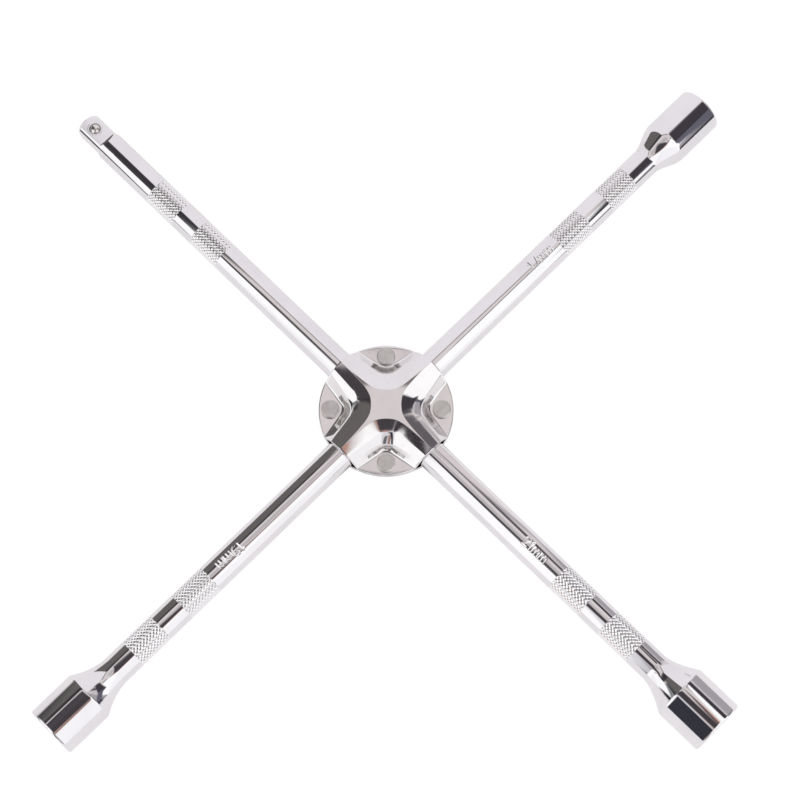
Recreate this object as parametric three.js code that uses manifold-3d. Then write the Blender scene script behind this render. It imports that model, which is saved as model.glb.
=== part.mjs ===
// A four-way lug wrench: four 16 mm bars meet in a cross inside a hub of two riveted steel pressings.
// Three bars carry a hexagon socket (17, 19 and 21 mm), and the fourth ends in a 12.7 mm (1/2 inch) square
// drive with a sprung detent ball. Millimetres, +Z up: the wrench lies in the XY plane with the hub's centre
// at the origin, +X along the 21 mm arm, +Y along the 17 mm arm, -X along the drive arm, -Y along the 19 mm
// arm.
import * as THREE from "three";
import { mergeVertices } from "three/addons/utils/BufferGeometryUtils.js";
import Module from "manifold-3d";

const wasm = await Module();
wasm.setup();

// ---------------------------------------------------------------- driving dimensions

const ROD_RADIUS = 8;
const ROD_SIDES = 32;
const SEAT_GAP = 0.3; // between a bar and the pressing round it, and between the two pressings
const BUTT_GAP = 0.1; // at the friction weld between a bar and its socket

// Each socket arm: how far the socket's mouth is from the hub's centre, and the socket's own sizes.
const SOCKETS = {
  17: { turn: 0, weldAt: 200.5, shoulderAt: 216.8, mouthAt: 245.1, radius: 13, flare: 1.35 },
  21: { turn: -Math.PI / 2, weldAt: 193, shoulderAt: 210.8, mouthAt: 237.1, radius: 15.35, flare: 1.6 },
  19: { turn: Math.PI, weldAt: 194.5, shoulderAt: 213, mouthAt: 239.4, radius: 14.3, flare: 1.85 },
};
const HEX_CLEARANCE = 0.3; // added to the nominal width across flats
const HEX_DEPTH = 20;
const STUD_DEPTH = 28; // depth of the round relief behind the hexagon, from the mouth
const STUD_SHARE = 0.8; // its radius, as a share of half the width across flats
const MOUTH_CHAMFER = 1.2;
const RIM_ROUNDING = 1.2;

// The square drive, milled on the end of its bar.
const DRIVE_TURN = Math.PI / 2;
const DRIVE_END = 232.7;
const DRIVE_SHOULDER = 214;
const DRIVE_HALF = 6.35;
const DRIVE_RAMP = 1.7; // length of the cutter's run-out at the shoulder
const DRIVE_CHAMFER = 2.3;

// The detent in the drive's upper flat.
const BALL_AT = 224.9;
const BALL_RADIUS = 3.25;
const BALL_HEIGHT = 4.65; // its centre above the bar's axis, at rest against the staked lip
const BALL_BORE_RADIUS = 3.45;
const BALL_BORE_FLOOR = -4.6;
const LIP_RADIUS = 3.1;
const LIP_DEPTH = 0.4;
const SPRING_RADIUS = 1.9;
const SPRING_WIRE_RADIUS = 0.25;
const SPRING_TURNS = 6;
const SPRING_BOTTOM = -4.4;
const SPRING_TOP = 1.7;

// The mitred joint of the four bars.
const WELD_THICKNESS = 2;
const WELD_GAP = 0.15; // on each side of the weld metal

// The hub's two pressings.
const PLATE_THICKNESS = 2;
const PLATE_RADIUS = 35.6;
const RIM_DRAW_IN = 1.6; // how much less that is at the crown, where the blank is drawn in
const FOOT_AT_RIM = 12.5; // from a bar's axis to the foot of its channel's wall, at the rim
const FOOT_SPLAY = 0.206; // how fast that distance grows towards the hub's centre
const FOOT_CORNER = 6; // plan radius of the foot line's corner behind a rivet
const FOOT_RADIUS = 0.8; // of the curve from wall to lobe, at the rim
const FOOT_GROWTH = 0.83; // how fast that radius grows with the wall's width
const WALL_SLOPE = (50 * Math.PI) / 180;
const FLANK_SLOPE = (16 * Math.PI) / 180; // of the shoulder that falls away from the flat star's crisp edge
const FLANK_SHARE = 0.36; // of the wall's width in plan
const WALL_WIDTH = 16; // in plan, between the flat star at the hub's centre and a lobe
const STAR_BLEND = 4;
const CREST_GAP = 0.6; // between a bar and the pressing over it
const DOME_START = 9; // the crown is flat inside this radius, and falls away towards the rim outside it
const DOME_HEIGHT = 1.7;

// The four rivets.
const RIVET_CIRCLE = 29.4;
const RIVET_SHANK_RADIUS = 3;
const RIVET_HEAD_RADIUS = 4.85;
const RIVET_HEAD_HEIGHT = 1.8;
const RIVET_EDGE = 0.4;
const RIVET_GAP = 0.15;
const RIVET_SIDES = 20;

// ---------------------------------------------------------------- materials

const metal = (color, roughness) => new THREE.MeshStandardMaterial({ color, roughness, metalness: 1 });
const chrome = metal(0xe3e2e6, 0.06);
const rivetSteel = metal(0xc9c7c2, 0.38);
const ballSteel = metal(0xd8d4cf, 0.1);
const springSteel = metal(0x8d8f94, 0.3);
const weldSteel = metal(0x77726c, 0.6);

// ---------------------------------------------------------------- solids and booleans

function toSolid(geometry) {
  const bare = geometry.clone();
  bare.deleteAttribute("normal");
  bare.deleteAttribute("uv");
  const merged = mergeVertices(bare, 1e-4);
  return new wasm.Manifold(
    new wasm.Mesh({
      numProp: 3,
      vertProperties: new Float32Array(merged.attributes.position.array),
      triVerts: new Uint32Array(merged.index.array),
    }),
  );
}

function toGeometry(solid) {
  const mesh = solid.getMesh();
  const indexed = new THREE.BufferGeometry();
  indexed.setAttribute("position", new THREE.BufferAttribute(mesh.vertProperties, 3));
  indexed.setIndex(new THREE.BufferAttribute(mesh.triVerts, 1));
  const faceted = indexed.toNonIndexed();
  faceted.computeVertexNormals();
  return faceted;
}

// A solid of revolution about +Y from [radius, height] pairs that start and end on the axis, going up.
function turned(profile, sides) {
  const points = profile.map(([radius, height]) => new THREE.Vector2(radius, height));
  return new THREE.LatheGeometry(points, sides);
}

// The same solid with its axis along +Z.
function turnedUpright(profile, sides) {
  return turned(profile, sides).rotateX(Math.PI / 2);
}

function extruded(outline, depth) {
  const shape = new THREE.Shape(outline.map(([x, y]) => new THREE.Vector2(x, y)));
  return new THREE.ExtrudeGeometry(shape, { depth, bevelEnabled: false });
}

// ---------------------------------------------------------------- bars

// The wedge that keeps one arm's quarter of the cross, with room for the weld on both mitre faces.
function mitreWedge() {
  const tip = (WELD_THICKNESS / 2 + WELD_GAP) * Math.SQRT2;
  const reach = 300;
  const height = 2 * ROD_RADIUS + 4;
  const outline = [[0, tip], [reach, tip + reach], [-reach, tip + reach]];
  return toSolid(extruded(outline, height).translate(0, 0, -height / 2));
}

// A plain bar along +Y, mitred at the hub and cut square where its socket is welded on.
function socketBar({ weldAt }) {
  const profile = [[0, 0], [ROD_RADIUS, 0], [ROD_RADIUS, weldAt], [0, weldAt]];
  const bar = toSolid(turned(profile, ROD_SIDES));
  return toGeometry(bar.intersect(mitreWedge()));
}

// What the cutter takes off one side of the drive: the flat, and the ramp it runs out on.
function driveCutter(quarterTurns) {
  const beyond = DRIVE_END + 2;
  const clear = ROD_RADIUS + 2;
  const slope = (ROD_RADIUS - DRIVE_HALF) / DRIVE_RAMP;
  const rampTop = DRIVE_SHOULDER - (clear - ROD_RADIUS) / slope;
  const outline = [
    [DRIVE_SHOULDER + DRIVE_RAMP, DRIVE_HALF],
    [beyond, DRIVE_HALF],
    [beyond, clear],
    [rampTop, clear],
  ];
  const width = 2 * clear;
  const cutter = extruded(outline, width).translate(0, 0, -width / 2);
  cutter.rotateY(-Math.PI / 2).rotateX(-Math.PI / 2); // the outline's x along +Y and its y along +Z
  cutter.rotateY((quarterTurns * Math.PI) / 2);
  return toSolid(cutter);
}

// The blind bore for the ball and its spring, narrowed at the mouth by staking.
function detentBore() {
  const lipBottom = DRIVE_HALF - LIP_DEPTH;
  const profile = [
    [0, BALL_BORE_FLOOR],
    [BALL_BORE_RADIUS, BALL_BORE_FLOOR],
    [BALL_BORE_RADIUS, lipBottom - LIP_DEPTH],
    [LIP_RADIUS, lipBottom],
    [LIP_RADIUS, ROD_RADIUS + 1],
    [0, ROD_RADIUS + 1],
  ];
  return toSolid(turnedUpright(profile, 24).translate(0, BALL_AT, 0));
}

// The bar that ends in the square drive, along +Y.
function driveBar() {
  const profile = [
    [0, 0],
    [ROD_RADIUS, 0],
    [ROD_RADIUS, DRIVE_END - DRIVE_CHAMFER],
    [ROD_RADIUS - DRIVE_CHAMFER * 0.5, DRIVE_END - DRIVE_CHAMFER * 0.35],
    [ROD_RADIUS - DRIVE_CHAMFER, DRIVE_END],
    [0, DRIVE_END],
  ];
  let bar = toSolid(turned(profile, ROD_SIDES)).intersect(mitreWedge());
  for (let side = 0; side < 4; side += 1) bar = bar.subtract(driveCutter(side));
  return toGeometry(bar.subtract(detentBore()));
}

// The weld metal between the four mitred ends: two crossed slabs, trimmed to the bars' own section.
function centreWeld() {
  const reach = 2 * ROD_RADIUS;
  const slab = new THREE.BoxGeometry(WELD_THICKNESS, 2 * reach, 2 * reach);
  const cross = toSolid(slab.clone().rotateZ(Math.PI / 4)).add(toSolid(slab.clone().rotateZ(-Math.PI / 4)));
  const trim = toSolid(new THREE.CylinderGeometry(ROD_RADIUS, ROD_RADIUS, 2 * reach, ROD_SIDES));
  const otherTrim = toSolid(
    new THREE.CylinderGeometry(ROD_RADIUS, ROD_RADIUS, 2 * reach, ROD_SIDES).rotateZ(Math.PI / 2),
  );
  return toGeometry(cross.intersect(trim.intersect(otherTrim)));
}

// ---------------------------------------------------------------- sockets

// The socket's outside: a neck that flares like a trumpet, a crisp shoulder, and a rounded rim.
function socketOutside({ weldAt, shoulderAt, mouthAt, radius, flare }) {
  const steps = 6;
  const profile = [[0, weldAt + BUTT_GAP]];
  for (let i = 0; i <= steps; i += 1) {
    const share = i / steps;
    const height = weldAt + BUTT_GAP + share * (shoulderAt - weldAt - BUTT_GAP);
    profile.push([ROD_RADIUS + (radius - ROD_RADIUS) * share ** flare, height]);
  }
  const rounding = RIM_ROUNDING;
  profile.push([radius, mouthAt - rounding]);
  profile.push([radius - 0.3 * rounding, mouthAt - 0.3 * rounding]);
  profile.push([radius - rounding, mouthAt], [0, mouthAt]);
  return toSolid(turned(profile, ROD_SIDES));
}

// What is hollow in it: the hexagon, the lead-in at its mouth, and the round relief for the stud.
function socketHollow(size, { mouthAt }) {
  const halfFlats = (size + HEX_CLEARANCE) / 2;
  const corner = halfFlats / Math.cos(Math.PI / 6);
  const floor = mouthAt - HEX_DEPTH;
  const hexagon = new THREE.CylinderGeometry(corner, corner, HEX_DEPTH + 2, 6);
  hexagon.rotateY(Math.PI / 6).translate(0, floor + (HEX_DEPTH + 2) / 2, 0); // a flat faces +Z
  const leadIn = turned(
    [
      [0, mouthAt - MOUTH_CHAMFER],
      [halfFlats, mouthAt - MOUTH_CHAMFER],
      [halfFlats + 2 * MOUTH_CHAMFER, mouthAt + MOUTH_CHAMFER],
      [0, mouthAt + MOUTH_CHAMFER],
    ],
    ROD_SIDES,
  );
  const stud = halfFlats * STUD_SHARE;
  const relief = turned(
    [
      [0, mouthAt - STUD_DEPTH - stud * 0.5],
      [stud, mouthAt - STUD_DEPTH],
      [stud, floor + 1],
      [0, floor + 1],
    ],
    24,
  );
  return toSolid(hexagon).add(toSolid(leadIn)).add(toSolid(relief));
}

function socket(size, sizes) {
  return toGeometry(socketOutside(sizes).subtract(socketHollow(size, sizes)));
}

// ---------------------------------------------------------------- hub pressings

const CROWN_TOP = ROD_RADIUS + CREST_GAP + PLATE_THICKNESS; // over a bar, at the rim
const LOBE_TOP = SEAT_GAP / 2 + PLATE_THICKNESS;
const SPLAY_TURN = Math.atan(FOOT_SPLAY);
// The foot line carried on to the hub's centre, and the centre of its rounded corner, the same in x and in y.
const FOOT_LEVEL = FOOT_AT_RIM + FOOT_SPLAY * Math.sqrt(PLATE_RADIUS ** 2 - FOOT_AT_RIM ** 2);
const CORNER_AT = (FOOT_LEVEL + FOOT_CORNER / Math.cos(SPLAY_TURN)) / (1 + FOOT_SPLAY);
const CORNER_END = CORNER_AT * (1 - FOOT_SPLAY);

// A section square to the foot line, from a place on the bar's axis: its length to the foot, the wall's width
// and its shoulder's in plan, and the radii of its foot and of its crest.
function wallSection(start) {
  const toCorner = Math.hypot(CORNER_AT - start, CORNER_AT) - FOOT_CORNER;
  const toLine = (FOOT_LEVEL - FOOT_SPLAY * start) * Math.cos(SPLAY_TURN);
  const length = start < CORNER_END ? toCorner : toLine;
  const near = Math.max(STAR_BLEND - Math.abs(length - WALL_WIDTH), 0) / STAR_BLEND;
  const width = Math.min(length, WALL_WIDTH) - (near * near * STAR_BLEND) / 4;
  const flank = FLANK_SHARE * width;
  const footRadius = FOOT_RADIUS + (width - FOOT_AT_RIM) * FOOT_GROWTH;
  const run = width - flank - footRadius * Math.sin(WALL_SLOPE);
  const footRise = footRadius * (1 - Math.cos(WALL_SLOPE));
  const spare = run * Math.tan(WALL_SLOPE) + flank * Math.tan(FLANK_SLOPE) + footRise;
  const turnedRun = Math.sin(WALL_SLOPE) - Math.sin(FLANK_SLOPE);
  const turnedDrop = Math.cos(FLANK_SLOPE) - Math.cos(WALL_SLOPE);
  const crestRadius = (spare - (CROWN_TOP - LOBE_TOP)) / (turnedRun * Math.tan(WALL_SLOPE) - turnedDrop);
  return { length, width, flank, footRadius, crestRadius };
}

// The distance from the foot and the height at a level of a section: 0 at the foot, 1, 2, 3 and 4 at the ends
// of the foot's curve, the straight wall, the crest's curve and the shoulder, and 5 on the bar's axis.
function wallProfile({ length, width, flank, footRadius, crestRadius }, level) {
  const footRise = footRadius * (1 - Math.cos(WALL_SLOPE));
  if (level <= 1) {
    const angle = level * WALL_SLOPE;
    return [footRadius * Math.sin(angle), LOBE_TOP + footRadius * (1 - Math.cos(angle))];
  }
  const low = footRadius * Math.sin(WALL_SLOPE);
  const high = width - flank - crestRadius * (Math.sin(WALL_SLOPE) - Math.sin(FLANK_SLOPE));
  if (level <= 2) {
    const climb = (high - low) * (level - 1);
    return [low + climb, LOBE_TOP + footRise + climb * Math.tan(WALL_SLOPE)];
  }
  const shoulder = CROWN_TOP - flank * Math.tan(FLANK_SLOPE);
  if (level <= 3) {
    const angle = FLANK_SLOPE + (3 - level) * (WALL_SLOPE - FLANK_SLOPE);
    const out = width - flank - crestRadius * (Math.sin(angle) - Math.sin(FLANK_SLOPE));
    return [out, shoulder - crestRadius * (Math.cos(FLANK_SLOPE) - Math.cos(angle))];
  }
  if (level <= 4) {
    const drop = flank * (4 - level);
    return [width - drop, CROWN_TOP - drop * Math.tan(FLANK_SLOPE)];
  }
  return [width + (length - width) * (level - 4), CROWN_TOP];
}

// A point of the outer face, with how far it is raised from the lobe towards the crown (0 to 1).
function wallPoint(start, level) {
  const section = wallSection(start);
  const [out, height] = wallProfile(section, level);
  let x = start + (section.length - out) * Math.sin(SPLAY_TURN);
  let y = (section.length - out) * Math.cos(SPLAY_TURN);
  if (start < CORNER_END) {
    const share = (out + FOOT_CORNER) / Math.hypot(CORNER_AT - start, CORNER_AT);
    x = CORNER_AT + (start - CORNER_AT) * share;
    y = CORNER_AT * (1 - share);
  }
  const raised = (height - LOBE_TOP) / (CROWN_TOP - LOBE_TOP);
  const beyond = Math.max(Math.hypot(x, y) - DOME_START, 0) / (PLATE_RADIUS - DOME_START);
  return { point: [x, y, height + DOME_HEIGHT * raised * (1 - beyond ** 1.5)], raised };
}

// Where a level line meets the rim, which is drawn in where the pressing is high.
function rimStart(level) {
  let [low, high] = [0, 1.2 * PLATE_RADIUS];
  for (let i = 0; i < 40; i += 1) {
    const middle = (low + high) / 2;
    const { point, raised } = wallPoint(middle, level);
    if (Math.hypot(point[0], point[1]) < PLATE_RADIUS - RIM_DRAW_IN * raised) low = middle;
    else high = middle;
  }
  return low;
}

// An eighth of the outer face: rows of points from the bar's axis to the foot, and the lobe's rim.
function pressingRows() {
  const levels = [5, 4, 3, 2.67, 2.33, 2, 1, 0.5, 0];
  const sections = 9;
  const rows = levels.map((level) => {
    const end = rimStart(level);
    return Array.from({ length: sections + 1 }, (_, i) => wallPoint((end * i) / sections, level).point);
  });
  const foot = rows[rows.length - 1];
  const rimAngle = Math.atan2(foot[sections][1], foot[sections][0]);
  const lobeRim = foot.map((_, i) => {
    const angle = Math.PI / 4 + ((rimAngle - Math.PI / 4) * i) / sections;
    return [PLATE_RADIUS * Math.cos(angle), PLATE_RADIUS * Math.sin(angle), LOBE_TOP];
  });
  lobeRim[sections] = foot[sections];
  return [...rows, lobeRim];
}

// One pressing, seen from its outer face: crown, walls and lobes, trimmed to a round rim.
function pressing() {
  const rows = pressingRows();
  const last = rows[0].length - 1;
  const lobeRim = rows[rows.length - 1];
  const rim = [...rows.slice(0, -1).map((row) => row[last]), ...lobeRim.slice(0, last).reverse()];
  const positions = [];

  for (let eighth = 0; eighth < 8; eighth += 1) {
    const mirror = eighth % 2 ? -1 : 1;
    const turn = (Math.PI / 2) * Math.floor(eighth / 2);
    const placed = ([x, y, z], down) => [
      x * Math.cos(turn) - mirror * y * Math.sin(turn),
      x * Math.sin(turn) + mirror * y * Math.cos(turn),
      z - down,
    ];
    const triangle = (a, b, c) => positions.push(...a, ...(mirror > 0 ? [...b, ...c] : [...c, ...b]));
    const face = (a, b, c) => {
      if (a === b || b === c || a === c) return;
      triangle(placed(a, 0), placed(b, 0), placed(c, 0));
      triangle(placed(a, PLATE_THICKNESS), placed(c, PLATE_THICKNESS), placed(b, PLATE_THICKNESS));
    };
    for (let row = 0; row + 1 < rows.length; row += 1) {
      const [inner, outer] = [rows[row], rows[row + 1]];
      for (let i = 0; i < last; i += 1) {
        face(inner[i], inner[i + 1], outer[i + 1]);
        face(inner[i], outer[i + 1], outer[i]);
      }
    }
    for (let i = 0; i + 1 < rim.length; i += 1) {
      const [topA, topB] = [placed(rim[i], 0), placed(rim[i + 1], 0)];
      const [lowA, lowB] = [placed(rim[i], PLATE_THICKNESS), placed(rim[i + 1], PLATE_THICKNESS)];
      triangle(topA, lowA, lowB);
      triangle(topA, lowB, topB);
    }
  }

  const sheet = new THREE.BufferGeometry();
  sheet.setAttribute("position", new THREE.Float32BufferAttribute(positions, 3));
  return toSolid(sheet);
}

// The pressing with its four rivet holes.
function hubPlate() {
  const reach = 20;
  const radius = RIVET_SHANK_RADIUS + RIVET_GAP;
  let plate = pressing();
  for (const [x, y] of rivetPlaces()) {
    const hole = new THREE.CylinderGeometry(radius, radius, reach, RIVET_SIDES).rotateX(Math.PI / 2);
    plate = plate.subtract(toSolid(hole.translate(x, y, 0)));
  }
  return toGeometry(plate);
}

// ---------------------------------------------------------------- rivets and detent

// Halfway between neighbouring bars, counted anticlockwise from between the 21 mm and 17 mm arms.
function rivetPlaces() {
  const side = RIVET_CIRCLE * Math.SQRT1_2;
  return [[side, side], [-side, side], [-side, -side], [side, -side]];
}

// A solid rivet with the same low head on both sides.
function rivet() {
  const seat = LOBE_TOP + RIVET_GAP;
  const top = seat + RIVET_HEAD_HEIGHT;
  const upper = [
    [RIVET_SHANK_RADIUS, seat],
    [RIVET_HEAD_RADIUS, seat],
    [RIVET_HEAD_RADIUS, top - RIVET_EDGE],
    [RIVET_HEAD_RADIUS - RIVET_EDGE, top],
    [0, top],
  ];
  const lower = upper.map(([radius, height]) => [radius, -height]).reverse();
  return turnedUpright([...lower, ...upper], RIVET_SIDES);
}

class Helix extends THREE.Curve {
  getPoint(share, target = new THREE.Vector3()) {
    const angle = 2 * Math.PI * SPRING_TURNS * share;
    const low = SPRING_BOTTOM + SPRING_WIRE_RADIUS;
    const high = SPRING_TOP - SPRING_WIRE_RADIUS;
    const height = low + (high - low) * share;
    return target.set(SPRING_RADIUS * Math.cos(angle), SPRING_RADIUS * Math.sin(angle), height);
  }
}

function detentSpring() {
  const section = new THREE.Shape();
  section.absarc(0, 0, SPRING_WIRE_RADIUS, 0, 2 * Math.PI);
  return new THREE.ExtrudeGeometry(section, {
    steps: 12 * SPRING_TURNS,
    curveSegments: 6,
    extrudePath: new Helix(),
  });
}

// ---------------------------------------------------------------- assembly

const wrench = new THREE.Group();

function add(name, geometry, material, parent = wrench) {
  const mesh = new THREE.Mesh(geometry, material);
  mesh.name = name;
  parent.add(mesh);
  return mesh;
}

for (const [size, sizes] of Object.entries(SOCKETS)) {
  const arm = new THREE.Group();
  arm.rotation.z = sizes.turn;
  add(`bar_${size}`, socketBar(sizes), chrome, arm);
  add(`socket_${size}`, socket(Number(size), sizes), chrome, arm);
  wrench.add(arm);
}

const driveArm = new THREE.Group();
driveArm.rotation.z = DRIVE_TURN;
add("bar_drive", driveBar(), chrome, driveArm);
const ball = new THREE.SphereGeometry(BALL_RADIUS, 20, 12).rotateX(Math.PI / 2);
add("detent_ball", ball, ballSteel, driveArm).position.set(0, BALL_AT, BALL_HEIGHT);
add("detent_spring", detentSpring(), springSteel, driveArm).position.set(0, BALL_AT, 0);
wrench.add(driveArm);

add("centre_weld", centreWeld(), weldSteel);
add("front_plate", hubPlate(), chrome);
add("back_plate", hubPlate(), chrome).rotation.x = Math.PI;
rivetPlaces().forEach(([x, y], i) => {
  add(`rivet_${i + 1}`, rivet(), rivetSteel).position.set(x, y, 0);
});

export default wrench;
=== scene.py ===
from math import acos, atan, atan2, cos, degrees, hypot, pi, radians, sin, sqrt, tan

import bmesh
import bpy
import numpy as np
from mathutils import Matrix, Vector


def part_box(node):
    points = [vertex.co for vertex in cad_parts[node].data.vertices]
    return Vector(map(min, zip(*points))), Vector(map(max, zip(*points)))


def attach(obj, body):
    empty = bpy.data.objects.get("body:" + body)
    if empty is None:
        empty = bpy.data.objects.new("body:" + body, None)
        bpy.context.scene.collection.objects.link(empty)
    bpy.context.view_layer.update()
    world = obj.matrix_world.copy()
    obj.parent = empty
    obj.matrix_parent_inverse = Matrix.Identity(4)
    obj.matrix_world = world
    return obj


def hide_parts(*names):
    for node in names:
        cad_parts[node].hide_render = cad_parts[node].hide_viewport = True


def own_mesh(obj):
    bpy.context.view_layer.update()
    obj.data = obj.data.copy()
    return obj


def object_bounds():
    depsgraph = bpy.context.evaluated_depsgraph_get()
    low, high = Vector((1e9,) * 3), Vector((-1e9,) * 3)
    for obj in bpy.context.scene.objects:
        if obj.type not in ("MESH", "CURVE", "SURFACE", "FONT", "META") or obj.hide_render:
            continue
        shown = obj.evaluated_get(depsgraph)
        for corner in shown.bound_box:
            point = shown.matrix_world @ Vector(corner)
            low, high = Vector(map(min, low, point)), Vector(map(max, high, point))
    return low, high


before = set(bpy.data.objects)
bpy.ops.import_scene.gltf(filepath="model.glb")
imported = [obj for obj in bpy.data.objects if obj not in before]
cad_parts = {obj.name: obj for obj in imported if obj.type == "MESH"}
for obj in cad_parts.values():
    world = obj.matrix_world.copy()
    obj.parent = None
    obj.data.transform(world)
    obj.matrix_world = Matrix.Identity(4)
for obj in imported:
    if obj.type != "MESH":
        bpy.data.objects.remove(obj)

MM = 0.001
cad_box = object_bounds()

# ---------------- sizes

ROD_RADIUS = 8 * MM
WELD_TIP = 1.15 * MM * sqrt(2)  # how far short of the hub's centre a bar's mitred point stops

KNURL_STARTS = 22
KNURL_PITCH = 2.25 * MM  # along the bar
KNURL_DEPTH = 0.2 * MM
KNURL_STEPS = 8  # mesh steps in one pitch
KNURL_GROOVE = (1.0, 0.58, 0.14, 0.0, 0.0)  # a groove's depth at each mesh step away from its middle
COLUMNS = KNURL_STARTS * KNURL_STEPS  # facets round a bar
BAND_EDGE = 0.1 * MM  # of the ring beside a knurl or an edge that keeps reflections straight past it

# The arms with sockets, in millimetres: quarter turns from +Y, knurled bands, the size mark's start, length
# and height above the crest line, and the socket's own sizes.
ARMS = {
    "17": dict(turn=0, bands=[(130.3, 150.6), (166.2, 185.8)], mark=(109.0, 16.3, 0.8),
               weld=200.5, shoulder=216.8, mouth=245.1, radius=13.0, flare=1.35, roundness=0.85),
    "21": dict(turn=3, bands=[(126.2, 147.0), (160.7, 180.9)], mark=(101.0, 15.4, 0),
               weld=193.0, shoulder=210.8, mouth=237.1, radius=15.35, flare=1.6, roundness=0.0),
    "19": dict(turn=2, bands=[(128.1, 148.8), (163.6, 182.8)], mark=(104.9, 16.4, 0),
               weld=194.5, shoulder=213.0, mouth=239.4, radius=14.3, flare=1.85, roundness=0.0),
}
DRIVE_ARM = dict(turn=1, bands=[(122.2, 142.1), (156.2, 176.1)])

MARK_STEP = 0.17 * MM
MARK_MARGIN = 0.8 * MM  # of finely meshed bar before and after a mark
MARK_DEPTH = 0.26 * MM
MARK_STROKE = 0.42 * MM  # half the width of an engraved stroke
MARK_FULLNESS = 0.8  # a groove's power law across, less than 1 for a rounder floor
GLYPH_GAP = 0.95 * MM
DIGIT_HEIGHT = 5.2 * MM
UNIT_HEIGHT = 3.6 * MM

HEX_CLEARANCE = 0.3 * MM
HEX_DEPTH = 20 * MM
HEX_STEP = 0.3 * MM  # how far the hexagon's floor falls towards the stud relief
STUD_DEPTH = 28 * MM
STUD_SHARE = 0.8  # of the hexagon's size, across the stud relief
DRILL_POINT = 0.5  # of the stud relief's radius, deep
DRILL_TIP = 0.1  # of that radius, across the tip
MOUTH_CHAMFER = 1.2 * MM
LEAST_CHAMFER = 0.05 * MM  # left at the hexagon's corners
RIM_ROUNDING = 1.3 * MM
SHOULDER_ROUNDING = 1 * MM  # how far it runs past the shoulder
WELD_GAP = 0.01 * MM  # between a bar's end and its socket
FLARE_STEPS = 39
SHOULDER_STEPS = 6
SOCKET_COLUMNS = 144

DRIVE_END = 232.7 * MM
DRIVE_HALF = 6.35 * MM
RAMP_END = 215.7 * MM  # where the cutter's run-out has come down to the drive's flats
RAMP_SLOPE = radians(46)
RAMP_RADIUS = 0.6 * MM
RAMP_RINGS = 31
CONE_AT = 230.5 * MM
END_ROUNDING = 0.35 * MM
EVEN_END = 180 * MM  # where the drive bar's evenly spaced columns end
FLAT_COLUMNS_AT = 184 * MM  # where its columns lie on the edges that the flats will have
FLAT_COLUMNS = 18  # on half of a flat
NARROWING_AT = 200 * MM  # where those columns start to close in on the first sliver of a flat
NARROWING = 11.5 * MM
NARROWING_RINGS = 13
FIRST_FLAT = radians(14)  # half the angle of the narrowest stretch with flat columns

BORE_RADIUS = 3.45 * MM
BORE_FLOOR = -4.6 * MM
LIP_RADIUS = 3.1 * MM
LIP_START = 0.8 * MM  # below the flat, where the bore starts to close in
LIP_THROAT = 0.4 * MM  # below the flat, where it has closed in
LIP_CHAMFER = 0.12 * MM
STAKE_INNER = 3.65 * MM
STAKE_INNER_SLOPE = 0.1 * MM
STAKE_OUTER = 4.2 * MM
STAKE_OUTER_SLOPE = 0.16 * MM
STAKE_DEPTH = 0.22 * MM
CUTTER_SKIM = 0.02 * MM  # how far the cutter clears the flat between lip and stake
CUTTER_REACH = 3 * MM  # how far it stands out of the flat
CUTTER_FLARE = 0.1 * MM
CUTTER_COLUMNS = 72

PLATE_THICKNESS = 2 * MM
PLATE_RADIUS = 35.6 * MM
SEAT_GAP = 0.3 * MM
FOOT_AT_RIM = 12.5 * MM  # from a bar's axis to the foot of its channel's wall, at the rim
FOOT_SPLAY = 0.206  # how fast that distance grows towards the hub's centre
FOOT_CORNER = 6 * MM  # plan radius of the foot line's corner behind a rivet
FOOT_RADIUS = 0.8 * MM  # of the curve from wall to lobe, at the rim
FOOT_GROWTH = 0.83  # how fast that radius grows with the wall's width
WALL_SLOPE = radians(50)
FLANK_SLOPE = radians(16)  # of the shoulder that falls away from the crisp edge of the hub's flat star
FLANK_SHARE = 0.36  # of the wall's width in plan
WALL_WIDTH = 16 * MM  # in plan, between the star and a lobe
STAR_BLEND = 4 * MM  # of the smooth turn where the star's edge leaves a bar's axis
CREST_GAP = 0.6 * MM  # between a bar and the pressing over it
DOME_START = 9 * MM  # from the hub's centre
DOME_HEIGHT = 1.7 * MM
DOME_FALL = 1.5  # the power law by which the dome falls away to the rim
RIM_DRAW_IN = 1.6 * MM
PLATE_EDGE = 0.5 * MM
PLATE_SECTIONS = 44  # mesh columns in an eighth of a pressing
PLATE_ROWS = (5, 5, 14, 4, 10, 10)  # mesh rows on star, shoulder, crest's curve, wall, foot's curve and lobe
STAR_GUARD = 0.03  # how close extra mesh rows lie to the star's edge, in wall_point's levels
MERGE_GAP = 0.002 * MM  # mesh points closer than this become one
SHORTEST_EDGE = 0.001 * MM

RIVET_EDGE = 0.55 * MM
RIVET_FOOT = 0.1 * MM  # chamfer where the head meets the lobe
RIVET_LIFT = 0.03 * MM
RIVET_SHANK = 0.62  # of the head's radius
HEAD_FALL = 0.05 * MM  # from the head's middle to its edge
HEAD_DIMPLE = 0.01 * MM
RING_DEPTH = 0.02 * MM
RING_WAVES = 46  # radians of ripple along the head's radius
RINGS_FROM = 0.84  # of the head's radius
RINGS_TO = 0.06
RING_STEPS = 27
RIVET_COLUMNS = 72

BALL_ROWS = 49
BALL_COLUMNS = 96

SPRING_TURNS = 6
SPRING_RADIUS = 1.9 * MM  # of the coil, to the middle of its wire
SPRING_WIRE = 0.25 * MM  # the wire's radius
SPRING_STEPS = 40  # in a turn
SPRING_COLUMNS = 10

EDGE_STEPS = 4  # mesh steps round a small edge
RIM_STEPS = 6  # round a socket's rim or a rivet's head

# how far a surface has to turn between two faces before the edge shows as a crease
CREASE = radians(30)
BAR_CREASE = radians(14)
SOCKET_CREASE = radians(24)
PLATE_CREASE = radians(35)
SPRING_CREASE = radians(60)

# ---------------- mesh tools


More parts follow.
